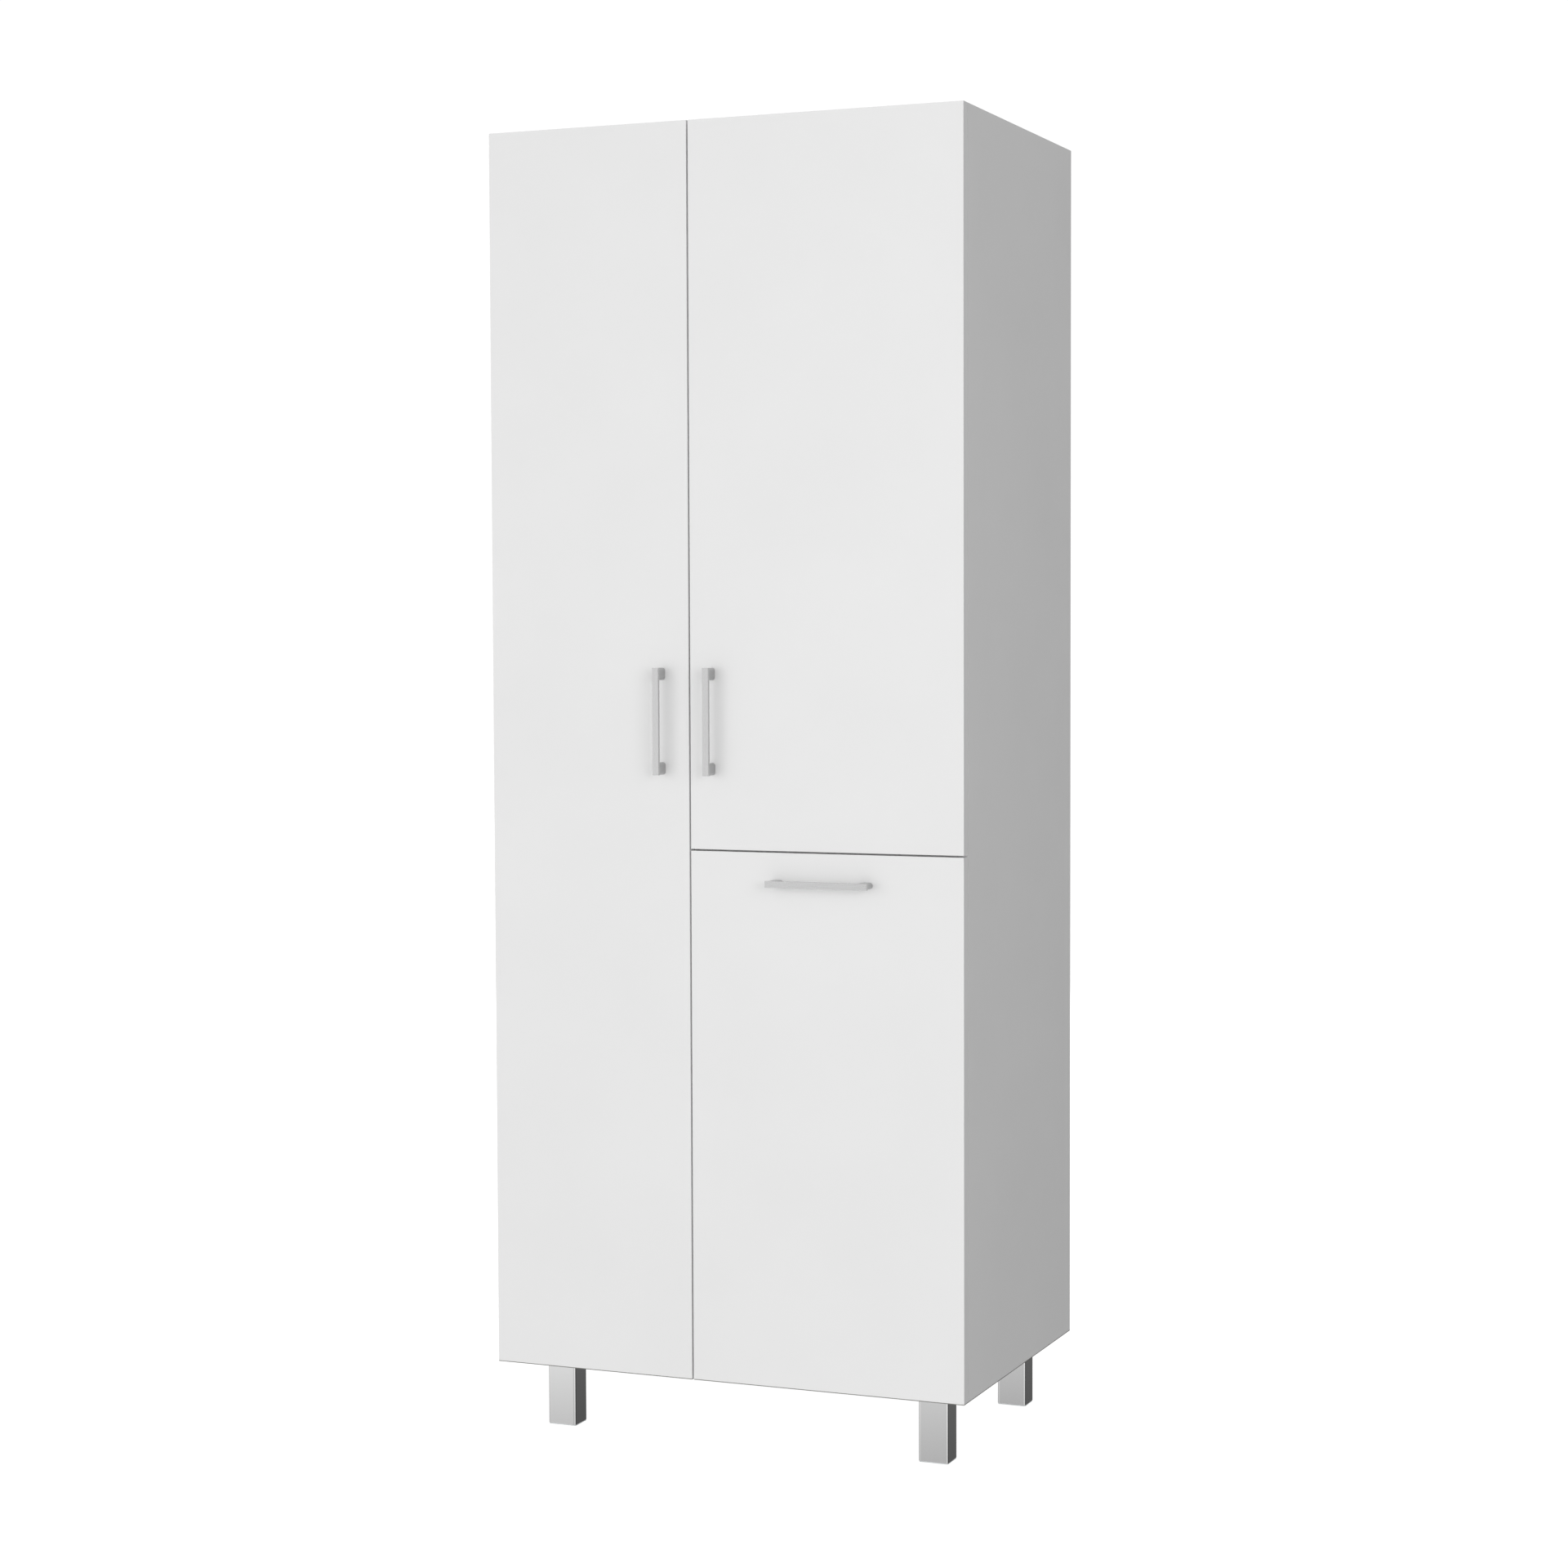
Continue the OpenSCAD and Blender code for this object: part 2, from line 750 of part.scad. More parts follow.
module slab(h) {
    translate([0, 0, -h / 2]) linear_extrude(h) children();
}

module hinge_plate() {
    difference() {
        union() {
            block([board, plate_y - plate_wing_w / 2, -plate_wing_h / 2],
                [board + plate_wing_t, plate_y + plate_wing_w / 2, plate_wing_h / 2]);
            block([board, arm_from + plate_block_in, -plate_block_h / 2],
                [arm_high - arm_wall - eps, arm_to - plate_block_in, plate_block_h / 2]);
        }
        at_plate_screws() screw_hole();
    }
}

module hinge_arm() {
    gap = arm_h / 2 - arm_wall;
    difference() {
        union() {
            slab(arm_h) strip(arm_pivot, arm_neck, 2 * arm_eye_r);
            block([arm_low, arm_from, -arm_h / 2], [arm_high, arm_to, arm_h / 2]);
            translate([arm_pivot[0], arm_pivot[1], -arm_h / 2]) cylinder(r = arm_eye_r, h = arm_h);
        }
        // channel over the plate's block, and the fork that holds the link
        block([0, arm_from + arm_end_t, -gap], [arm_high - arm_wall, arm_to + cut, gap]);
        block([0, -arm_to, -gap], [arm_to, arm_fork_to, gap]);
        translate([arm_pivot[0], arm_pivot[1], -arm_h]) cylinder(r = arm_pin_r, h = 2 * arm_h);
    }
}

module hinge_arm_pin() {
    translate([arm_pivot[0], arm_pivot[1], -arm_h / 2]) cylinder(r = arm_pin_r, h = arm_h);
}

module hinge_link() {
    difference() {
        union() {
            slab(link_h) {
                strip(arm_pivot, link_bend, link_t);
                strip(link_bend, cup_pivot, link_t);
            }
            translate([link_bend[0], link_bend[1], -link_h / 2])
                cylinder(r = link_t / 2, h = link_h);
            translate([arm_pivot[0], arm_pivot[1], -link_eye_h / 2])
                cylinder(r = link_eye_r, h = link_eye_h);
            translate([cup_pivot[0], cup_pivot[1], -cup_eye_h / 2])
                cylinder(r = cup_eye_r, h = cup_eye_h);
        }
        translate([arm_pivot[0], arm_pivot[1], -arm_h])
            cylinder(r = arm_pin_r + pivot_play, h = 2 * arm_h);
        translate([cup_pivot[0], cup_pivot[1], -arm_h])
            cylinder(r = cup_pin_r + pivot_play, h = 2 * arm_h);
    }
}

door_in = -front_gap;                        // inner face of a door from the carcass edge

module hinge_cup() {
    difference() {
        union() {
            translate([cup_x, door_in - cup_depth, 0]) rod_y(cup_r, cup_depth + cup_rim);
            block([cup_flange_from, door_in, -cup_flange_h / 2],
                [cup_flange_to, door_in + cup_flange_t, cup_flange_h / 2]);
        }
        translate([cup_x, door_in - cup_depth + cup_floor, 0])
            rod_y(cup_r - cup_wall, cup_depth + cut);
        translate([cup_pivot[0], cup_pivot[1], -cup_pin_l])
            cylinder(r = cup_pin_r, h = 2 * cup_pin_l);
        block([cup_x - cup_r - cut, door_in + cup_rim - cup_notch_depth, -cup_notch_h / 2],
            [cup_notch_to, door_in + cup_rim + cut, cup_notch_h / 2]);
        at_cup_screws() translate([0, 0, -cut]) cylinder(r = cup_screw_r + eps, h = 2 * cut);
    }
}

module hinge_cup_pin() {
    translate([cup_pivot[0], cup_pivot[1], -cup_pin_l / 2]) cylinder(r = cup_pin_r, h = cup_pin_l);
}

module at_cup_screws() {
    for (s = [-1, 1])
        translate([cup_screw_x, door_in + cup_flange_t, s * cup_screw_pitch / 2])
            rotate([-90, 0, 0]) children();
}

module cup_screw() {
    translate([0, 0, -cup_screw_l]) cylinder(r = cup_screw_r, h = cup_screw_l);
    screw_head(cup_screw_head_r, cup_screw_head_t);
}

module cup_cut() {
    translate([cup_x, door_in - cup_depth - eps, 0]) rod_y(cup_r + eps, cup_depth + cut);
    at_cup_screws() translate([0, 0, -cup_screw_l - eps])
        cylinder(r = cup_screw_r + eps, h = cup_screw_l + cut);
}

module hinge_plates() {
    color(zinc) {
        at_left_hinges() hinge_plate();
        at_right_hinges() hinge_plate();
    }
}

module hinge_arms() {
    color(metal) {
        at_left_hinges() hinge_arm();
        at_right_hinges() hinge_arm();
    }
}

module hinge_arm_pins() {
    color(zinc) {
        at_left_hinges() hinge_arm_pin();
        at_right_hinges() hinge_arm_pin();
    }
}

module left_hinge_links() { color(metal) at_left_hinges() hinge_link(); }
module right_hinge_links() { color(metal) at_right_hinges() hinge_link(); }
module left_hinge_cups() { color(metal) at_left_hinges() hinge_cup(); }
module right_hinge_cups() { color(metal) at_right_hinges() hinge_cup(); }
module left_hinge_cup_pins() { color(zinc) at_left_hinges() hinge_cup_pin(); }
module right_hinge_cup_pins() { color(zinc) at_right_hinges() hinge_cup_pin(); }
module left_hinge_cup_screws() { color(zinc) at_left_hinges() at_cup_screws() cup_screw(); }
module right_hinge_cup_screws() { color(zinc) at_right_hinges() at_cup_screws() cup_screw(); }

// ---------------------------------------------------------------- handles
// Drawn upright round their middle, standing off the plane y = 0 towards -Y.

post_end = handle_l / 2 - post_l / 2;

module handle_bar() {
    color(metal) block([-handle_w / 2, -handle_reach, -handle_l / 2],
        [handle_w / 2, handle_t - handle_reach, handle_l / 2]);
}

module handle_posts() {
    round_z = (post_l - handle_w) / 2;
    color(metal) for (s = [-1, 1]) difference() {
        translate([0, handle_t - handle_reach, s * post_end]) {
            for (z = [-round_z, round_z]) translate([0, 0, z])
                rod_y(handle_w / 2, handle_reach - handle_t);
            block([-handle_w / 2, 0, -round_z], [handle_w / 2, handle_reach - handle_t, round_z]);
        }
        translate([0, -handle_screw_in, s * handle_pitch / 2])
            rod_y(handle_screw_r + eps, handle_screw_in + cut);
    }
}

module handle_screws() {
    color(zinc) for (s = [-1, 1]) translate([0, 0, s * handle_pitch / 2]) {
        translate([0, -handle_screw_in, 0]) rod_y(handle_screw_r, handle_screw_in + front_t);
        translate([0, front_t, 0]) rotate([-90, 0, 0]) screw_head(handle_head_r, handle_head_t);
    }
}

module handle_holes() {
    for (s = [-1, 1]) translate([0, -cut, s * handle_pitch / 2])
        rod_y(handle_hole_r, front_t + 2 * cut);
}

module at_left_handle() {
    translate([split_x - left_handle_in, face_y, base_z + door_handle_z]) children();
}

module at_right_handle() {
    translate([split_x + right_handle_in, face_y, base_z + door_handle_z]) children();
}

module at_bin_handle() {
    translate([left_x + bin_handle_x, face_y, split_z - bin_handle_drop])
        rotate([0, 90, 0]) children();
}

module left_handle_bar() { at_left_handle() handle_bar(); }
module left_handle_posts() { at_left_handle() handle_posts(); }
module left_handle_screws() { at_left_handle() handle_screws(); }
module right_handle_bar() { at_right_handle() handle_bar(); }
module right_handle_posts() { at_right_handle() handle_posts(); }
module right_handle_screws() { at_right_handle() handle_screws(); }
module bin_handle_bar() { at_bin_handle() handle_bar(); }
module bin_handle_posts() { at_bin_handle() handle_posts(); }
module bin_handle_screws() { at_bin_handle() handle_screws(); }

// ---------------------------------------------------------------- fronts

module front_sheet(xl, xr, zl, zh) {
    block([xl, face_y, zl], [xr, face_y + front_t, zh]);
}

module left_door_panel() {
    color(white) difference() {
        front_sheet(left_x, split_x - seam / 2, base_z, top_z);
        at_left_hinges() cup_cut();
        at_left_handle() handle_holes();
    }
}

module right_door_panel() {
    color(white) difference() {
        front_sheet(split_x + seam / 2, right_x, split_z + seam / 2, top_z);
        at_right_hinges() cup_cut();
        at_right_handle() handle_holes();
    }
}

module bin_front_panel() {
    color(white) difference() {
        front_sheet(split_x + seam / 2, right_x, base_z, split_z - seam / 2);
        at_bin_handle() handle_holes();
        at(bin_front_cams) cam_bolt(eps);
        at_bin_hinges() {
            block([-leaf_l / 2 - eps, bin_front_in - leaf_t - eps, base_z - cut],
                [leaf_l / 2 + eps, bin_front_in + cut, base_z + leaf_up + eps]);
            at_moving_screws() translate([0, 0, -screw_l - eps])
                cylinder(r = screw_r + eps, h = screw_l + cut);
        }
    }
}

// ---------------------------------------------------------------- tilt-out bin

module cheek(x) {
    intersection() {
        block([x, bin_front_in, bin_low], [x + board, bin_back_y, top_z]);
        translate([x - cut, bin_axis_y, bin_axis_z])
            rotate([0, 90, 0]) cylinder(r = bin_r, h = board + 2 * cut, $fn = 96);
    }
}

module bin_left_cheek() {
    color(white) difference() {
        cheek(bin_l);
        at(bin_cams) {
            cam_pocket();
            cam_bolt(eps);
        }
    }
}

module bin_right_cheek() {
    color(white) difference() {
        cheek(bin_rr - board);
        at(bin_cams) {
            cam_pocket();
            cam_bolt(eps);
        }
    }
}

module bin_back() {
    reach = bin_r + bin_catch;
    behind = bin_back_y - bin_axis_y;
    height = bin_axis_z + sqrt(reach * reach - behind * behind);
    color(white) difference() {
        block([bin_in_l, bin_back_y - board, bin_low], [bin_in_r, bin_back_y, height]);
        at(bin_back_cams) {
            cam_pocket();
            cam_bolt(eps);
        }
    }
}

module bin_bottom() {
    color(white) difference() {
        block([bin_in_l, bin_front_in, bin_low], [bin_in_r, bin_back_y - board, bin_low + board]);
        at(bin_bottom_cams) {
            cam_pocket();
            cam_bolt(eps);
        }
    }
}

// One knuckle of a bin hinge round the pin, from x0 to x1
module knuckle(x0, x1) {
    translate([x0, bin_axis_y, bin_axis_z]) rod_x(knuckle_r, x1 - x0);
}

module pin_bore(r) {
    translate([-leaf_l, bin_axis_y, bin_axis_z]) rod_x(r, 2 * leaf_l);
}

module bin_hinge_fixed_leaves() {
    inner = leaf_l / 2 - knuckle_l;
    color(zinc) at_bin_hinges() difference() {
        union() {
            block([-leaf_l / 2, bin_axis_y + knuckle_r + knuckle_play, base_z - leaf_t],
                [leaf_l / 2, edge_y + leaf_reach, base_z]);
            for (x = [-leaf_l / 2, inner]) {
                block([x, bin_axis_y, base_z - leaf_t],
                    [x + knuckle_l, edge_y + leaf_reach / 2, base_z]);
                knuckle(x, x + knuckle_l);
            }
        }
        pin_bore(bin_pin_r);
        for (s = [-1, 1])
            translate([s * leaf_screw_step, edge_y + leaf_screw_in, base_z - leaf_t - cut])
                cylinder(r = screw_r + eps, h = leaf_t + 2 * cut);
    }
}

module at_moving_screws() {
    for (s = [-1, 1])
        translate([s * leaf_screw_step, bin_front_in, base_z + leaf_up / 2])
            rotate([-90, 0, 0]) children();
}

// A flush screw: its cone fills the leaf's countersink
module flush_screw(play) {
    translate([0, 0, -screw_l]) cylinder(r = screw_r + play, h = screw_l);
    translate([0, 0, -leaf_t]) cylinder(r1 = screw_r + play, r2 = screw_r + leaf_t + play, h = leaf_t);
}

module bin_hinge_moving_leaves() {
    inner = leaf_l / 2 - knuckle_l - knuckle_play;
    color(zinc) at_bin_hinges() difference() {
        union() {
            block([-leaf_l / 2, bin_front_in - leaf_t, base_z + leaf_lift],
                [leaf_l / 2, bin_front_in, base_z + leaf_up]);
            block([-inner, bin_front_in - leaf_t, bin_axis_z],
                [inner, bin_front_in, base_z + leaf_up / 2]);
            knuckle(-inner, inner);
        }
        pin_bore(bin_pin_r + pivot_play);
        at_moving_screws() flush_screw(eps);
    }
}

module bin_hinge_leaf_screws() {
    color(zinc) at_bin_hinges() at_moving_screws() flush_screw(0);
}

module bin_hinge_pins() {
    color(zinc) at_bin_hinges()
        translate([-leaf_l / 2, bin_axis_y, bin_axis_z]) rod_x(bin_pin_r, leaf_l);
}

left_side_panel();
right_side_panel();
top_panel();
bottom_panel();
centre_partition();
bin_top_shelf();
bin_stop_rail();
left_fixed_shelf();
left_lower_shelf();
left_upper_shelf();
right_lower_shelf();
right_upper_shelf();
back_panel_left();
back_panel_right();
back_panel_nails();
shelf_pins();
cam_locks();
cam_bolts();
dowels();
leg_front_left();
leg_front_right();
leg_back_left();
leg_back_right();
leg_glides();
carcass_screws();
hinge_plates();
hinge_arms();
hinge_arm_pins();
anti_tip_brackets();
bin_hinge_fixed_leaves();
bin_hinge_pins();
front_bumpers();
left_hinge_links();
left_door_panel();
left_hinge_cups();
left_hinge_cup_pins();
left_hinge_cup_screws();
left_handle_bar();
left_handle_posts();
left_handle_screws();
right_hinge_links();
right_door_panel();
right_hinge_cups();
right_hinge_cup_pins();
right_hinge_cup_screws();
right_handle_bar();
right_handle_posts();
right_handle_screws();
bin_front_panel();
bin_left_cheek();
bin_right_cheek();
bin_back();
bin_bottom();
bin_cam_locks();
bin_cam_bolts();
bin_hinge_moving_leaves();
bin_hinge_leaf_screws();
bin_handle_bar();
bin_handle_posts();
bin_handle_screws();
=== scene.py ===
"""Looks of the tall pantry cabinet: materials, edges, studio light and camera round the CAD frame."""
import json
from math import pi, radians

import bpy
from mathutils import Matrix, Vector


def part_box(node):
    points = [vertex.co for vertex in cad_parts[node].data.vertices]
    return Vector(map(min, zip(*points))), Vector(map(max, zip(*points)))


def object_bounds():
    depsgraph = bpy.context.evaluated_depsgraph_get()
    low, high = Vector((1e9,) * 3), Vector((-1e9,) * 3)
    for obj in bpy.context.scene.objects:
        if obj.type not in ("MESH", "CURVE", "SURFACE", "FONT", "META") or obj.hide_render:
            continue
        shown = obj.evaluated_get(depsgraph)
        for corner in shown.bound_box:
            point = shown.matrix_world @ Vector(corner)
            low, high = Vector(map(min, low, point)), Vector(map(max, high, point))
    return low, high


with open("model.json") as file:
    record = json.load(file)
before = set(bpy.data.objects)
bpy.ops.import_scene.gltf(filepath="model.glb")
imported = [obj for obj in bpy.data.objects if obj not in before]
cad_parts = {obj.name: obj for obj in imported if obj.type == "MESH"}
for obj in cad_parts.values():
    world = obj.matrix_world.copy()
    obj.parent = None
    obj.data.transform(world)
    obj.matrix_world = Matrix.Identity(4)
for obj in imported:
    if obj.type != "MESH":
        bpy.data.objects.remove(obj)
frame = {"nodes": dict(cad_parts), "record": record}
CAD_LOW, CAD_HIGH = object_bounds()
NODES = frame["nodes"]
SLOT_OF = {p["node"]: p["material_slot"] for p in frame["record"]["subparts"]}
MM = 0.001
WHITE = (1, 1, 1, 1)
scene = bpy.context.scene

# ------------------------------------------------------------------ camera
# The cabinet is seen from its right and from slightly above its middle.
CAMERA_AZIMUTH = radians(22.28)
CAMERA_ELEVATION = radians(2.943)
CAMERA_ROLL = radians(-0.204)
CAMERA_DISTANCE = 4.1795
CAMERA_AIM_SHIFT = Vector((-0.0012, 0.0, 0.0018))
CAMERA_LENS = 71.92
CAMERA_SENSOR = 36.0
CAMERA_SEES = (0.05, 100.0)


def make_camera():
    data = bpy.data.cameras.new("camera")
    data.lens = CAMERA_LENS
    data.sensor_width = CAMERA_SENSOR
    data.clip_start, data.clip_end = CAMERA_SEES
    cam = bpy.data.objects.new("camera", data)
    scene.collection.objects.link(cam)
    turn = (
        Matrix.Rotation(CAMERA_AZIMUTH, 4, "Z")
        @ Matrix.Rotation(pi / 2 - CAMERA_ELEVATION, 4, "X")
        @ Matrix.Rotation(CAMERA_ROLL, 4, "Z")
    )
    aim = (CAD_LOW + CAD_HIGH) / 2 + CAMERA_AIM_SHIFT
    cam.matrix_world = Matrix.Translation(aim + turn @ Vector((0, 0, CAMERA_DISTANCE))) @ turn
    scene.camera = cam


# ------------------------------------------------------------------ materials
NOISE_LOW = 0.3
NOISE_HIGH = 0.7


class Shader:
    """A node material: a Principled shader with small helpers for procedural detail."""

    def __init__(self, name):
        self.material = bpy.data.materials.new(name)
        self.material.use_nodes = True
        self.tree = self.material.node_tree
        self.principled = self.tree.nodes["Principled BSDF"]
        self.coords = self.tree.nodes.new("ShaderNodeTexCoord").outputs["Object"]

    def node(self, kind, **values):
        made = self.tree.nodes.new(kind)
        for key, value in values.items():
            made.inputs[key.replace("_", " ")].default_value = value
        return made

    def link(self, start, end):
        self.tree.links.new(start, end)

    def stretched(self, stretch):
        """Object coordinates scaled on each axis; a noise runs long where the scale is small."""
        mapping = self.node("ShaderNodeMapping", Scale=stretch)
        self.link(self.coords, mapping.inputs["Vector"])
        return mapping.outputs["Vector"]

    def noise(self, scale, detail=3.0, stretch=(1, 1, 1), roughness=0.5):
        made = self.node("ShaderNodeTexNoise", Scale=scale, Detail=detail, Roughness=roughness)
        self.link(self.stretched(stretch), made.inputs["Vector"])
        return made.outputs["Fac"]

    def span(self, value, low, high, start=NOISE_LOW, end=NOISE_HIGH):
        """A number from low to high as value goes from start to end."""
        made = self.node("ShaderNodeMapRange", From_Min=start, From_Max=end, To_Min=low, To_Max=high)
        self.link(value, made.inputs["Value"])
        return made.outputs["Result"]

    def mix(self, factor, dark, light):
        """A colour from dark to light over the usual range of a noise."""
        ramp = self.tree.nodes.new("ShaderNodeValToRGB")
        first, last = ramp.color_ramp.elements
        first.position, last.position = NOISE_LOW, NOISE_HIGH
        first.color, last.color = (*dark, 1), (*light, 1)
        self.link(factor, ramp.inputs["Fac"])
        return ramp.outputs["Color"]

    def blend(self, factor, first, second):
        """The first colour where factor is 0, and the second where it is 1."""
        made = self.tree.nodes.new("ShaderNodeMix")
        made.data_type = "RGBA"
        colours = [socket for socket in made.inputs if socket.type == "RGBA"]
        self.link(factor, made.inputs["Factor"])
        self.link(first, colours[0])
        self.link(second, colours[1])
        return next(socket for socket in made.outputs if socket.type == "RGBA")

    def math(self, operation, first, second):
        made = self.tree.nodes.new("ShaderNodeMath")
        made.operation = operation
        self.link(first, made.inputs[0])
        self.link(second, made.inputs[1])
        return made.outputs["Value"]

    def times(self, first, second):
        return self.math("MULTIPLY", first, second)

    def either(self, first, second):
        return self.math("MAXIMUM", first, second)

    def normal(self):
        return self.tree.nodes.new("ShaderNodeTexCoord").outputs["Normal"]

    def part(self, vector, axis):
        made = self.tree.nodes.new("ShaderNodeSeparateXYZ")
        self.link(vector, made.inputs["Vector"])
        return made.outputs[axis]

    def colour(self, output):
        self.link(output, self.principled.inputs["Base Color"])

    def rough(self, output):
        self.link(output, self.principled.inputs["Roughness"])

    def bump(self, height, strength, distance):
        made = self.node("ShaderNodeBump", Strength=strength, Distance=distance)
        self.link(height, made.inputs["Height"])
        self.link(made.outputs["Normal"], self.principled.inputs["Normal"])

    def fixed(self, **values):
        for key, value in values.items():
            self.principled.inputs[key.replace("_", " ")].default_value = value


def grey(value, warm=0.0):
    """A grey; warm takes that much blue out of it."""
    return (value, value, value - warm)


BOX_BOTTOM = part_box("bottom_panel")[0].z
# Painted shade: a dark grey line this high along the lower edges of the box, with a soft top.
PAINTED_SHADE_LINE_HEIGHT = 1.2 * MM
PAINTED_SHADE_LINE_SOFT = 0.3 * MM
UNDERSIDE = (5 * MM, 6 * MM)


def white_board():
    """Melamine-faced board: a pure white with a very fine skin. Painted shade: the downward faces at
    the bottom of the box and a thin line along its lower edges are dark grey."""
    s = Shader("white_board")
    white = s.mix(s.noise(5.0, 4.0), grey(0.862, 0.001), grey(0.882, 0.001))
    # Painted shade: the dark grey for the downward faces low on the box and for the line along its
    # lower edges.
    fibre_and_painted_shade = s.mix(s.noise(500.0, 5.0, (1, 1, 1), 0.7), grey(0.16, 0.01), grey(0.26, 0.02))
    height = s.part(s.coords, "Z")
    faces_down = s.span(s.part(s.normal(), "Z"), 1.0, 0.0, -0.5, -0.2)
    lies_low = s.span(height, 1.0, 0.0, *(BOX_BOTTOM + z for z in UNDERSIDE))
    shade_line_mask = s.span(height, 1.0, 0.0, BOX_BOTTOM + PAINTED_SHADE_LINE_HEIGHT - PAINTED_SHADE_LINE_SOFT, BOX_BOTTOM + PAINTED_SHADE_LINE_HEIGHT)
    # Painted shade goes where faces point down low on the box and on a thin line along its lower edges.
    s.colour(s.blend(s.either(s.times(faces_down, lies_low), shade_line_mask), white, fibre_and_painted_shade))
    s.rough(s.span(s.noise(60.0, 3.0), 0.38, 0.50))
    s.bump(s.noise(1400.0, 2.0), 0.12, 0.05 * MM)
    s.fixed(Specular_IOR_Level=0.35)
    return s.material


def hardboard():
    """Thin hardboard: white on the face inside the cabinet, brown fibre on the back."""
    s = Shader("hardboard")
    fibre_and_painted_shade = s.mix(s.noise(420.0, 8.0, (1, 1, 0.6), 0.7), (0.30, 0.205, 0.125), (0.46, 0.33, 0.215))
    face = s.mix(s.noise(9.0, 3.0), grey(0.83, 0.01), grey(0.86, 0.01))
    rear = s.span(s.part(s.normal(), "Y"), 0.0, 1.0, 0.4, 0.6)
    s.colour(s.blend(rear, face, fibre_and_painted_shade))
    s.rough(s.span(s.noise(300.0, 4.0), 0.55, 0.8))
    s.bump(s.noise(700.0, 6.0, (1, 1, 0.5), 0.7), 0.35, 0.12 * MM)
    return s.material


def brushed(name, tone, low, high, along, roughness=(0.26, 0.40)):
    """Metal with a fine grain from low to high times its tone; along is its scale on each axis, in
    waves a metre, so the grain runs along the axis where the scale is small."""
    s = Shader(name)
    s.fixed(Metallic=1.0)
    grain = s.noise(1.0, 5.0, along, 0.65)
    s.colour(s.mix(grain, tuple(t * low for t in tone), tuple(t * high for t in tone)))
    s.rough(s.span(grain, *roughness))
    s.bump(grain, 0.10, 0.03 * MM)
    return s.material


LEG_TONE = 0.53
# Painted shade and painted reflection: the legs' tone is darker near the floor and brighter near the
# top, as if they mirrored a shadowed floor.
LEG_SHADE_AT_FOOT = (0.83, 0.85)
LEG_LIGHT_AT_TOP = (1.08, 1.10)
LEG_FOOT_TO_TOP = (5 * MM, 90 * MM)
LEG_GRAIN = (1500, 1500, 12)


def leg_metal():
    """Satin chrome with a very faint upright grain; its tone is darker towards the floor and brighter
    towards the top, painted shade and painted reflection.
    """
    s = Shader("leg_metal")
    s.fixed(Metallic=1.0)
    grain = s.noise(1.0, 4.0, LEG_GRAIN, 0.6)
    shade_at_foot = s.mix(grain, *(grey(LEG_TONE * share) for share in LEG_SHADE_AT_FOOT))
    light_at_top = s.mix(grain, *(grey(LEG_TONE * share) for share in LEG_LIGHT_AT_TOP))
    # Painted shade towards the floor, painted reflection towards the top.
    s.colour(s.blend(s.span(s.part(s.coords, "Z"), 0.0, 1.0, *LEG_FOOT_TO_TOP), shade_at_foot, light_at_top))
    s.rough(s.span(grain, 0.15, 0.18))
    return s.material


def beech():
    """Beech; the grain runs from side to side, along most of the dowels."""
    s = Shader("beech")
    grain = s.noise(60.0, 6.0, (1, 9, 9), 0.6)
    s.colour(s.mix(grain, (0.50, 0.34, 0.20), (0.72, 0.54, 0.36)))
    s.rough(s.span(grain, 0.5, 0.7))
    s.bump(grain, 0.3, 0.1 * MM)
    return s.material


def plastic(name, dark, light, roughness):
    """Moulded plastic with a fine fleck."""
    s = Shader(name)
    fleck = s.noise(900.0, 3.0)
    s.colour(s.mix(s.noise(40.0, 3.0), dark, light))
    s.rough(s.span(fleck, *roughness))
    s.bump(fleck, 0.25, 0.06 * MM)
    return s.material


BAR_TONE = (0.547, 0.547, 0.549)
# Painted shade: the posts get a darker copy of the bars' tone.
POST_SHADED_TONE = (0.485, 0.485, 0.487)
ZINC_TONE = (0.66, 0.68, 0.71)
NICKEL_TONE = (0.66, 0.65, 0.63)
BAR_ROUGH = (0.24, 0.32)
POST_ROUGH = (0.28, 0.36)
NICKEL_ROUGH = (0.16, 0.26)
UPRIGHT_GRAIN = (900, 900, 12)
LEVEL_GRAIN = (12, 900, 900)
CAST_GRAIN = (900, 900, 900)


def make_materials():
    return {
        "white_board": white_board(),
        "hardboard": hardboard(),
        "handle_metal": brushed("handle_metal", BAR_TONE, 0.97, 1.03, UPRIGHT_GRAIN, BAR_ROUGH),
        "level_metal": brushed("level_metal", BAR_TONE, 0.97, 1.03, LEVEL_GRAIN, BAR_ROUGH),
        # Painted shade: the posts' darker tone; their rougher cast grain is their own finish.
        "shaded_post_metal": brushed("shaded_post_metal", POST_SHADED_TONE, 0.98, 1.02, CAST_GRAIN, POST_ROUGH),
        "leg_metal": leg_metal(),
        "zinc_steel": brushed("zinc_steel", ZINC_TONE, 0.88, 1.06, (500, 500, 500)),
        "nickel_steel": brushed("nickel_steel", NICKEL_TONE, 0.94, 1.04, (300, 300, 300), NICKEL_ROUGH),
        "beech": beech(),
        "pale_plastic": plastic("pale_plastic", (0.62, 0.64, 0.65), (0.70, 0.72, 0.73), (0.30, 0.45)),
    }


# ------------------------------------------------------------------ edges of the CAD pieces
BOARD_EDGE = 0.4 * MM
METAL_EDGE = 0.35 * MM
SMALL_EDGE = 0.15 * MM
EDGE_OF = {
    "white_board": BOARD_EDGE,
    "hardboard": SMALL_EDGE,
    "handle_metal": METAL_EDGE,
    "leg_metal": METAL_EDGE,
    "nickel_steel": SMALL_EDGE,
    "zinc_steel": SMALL_EDGE,
}
EDGE_ANGLE = radians(40)


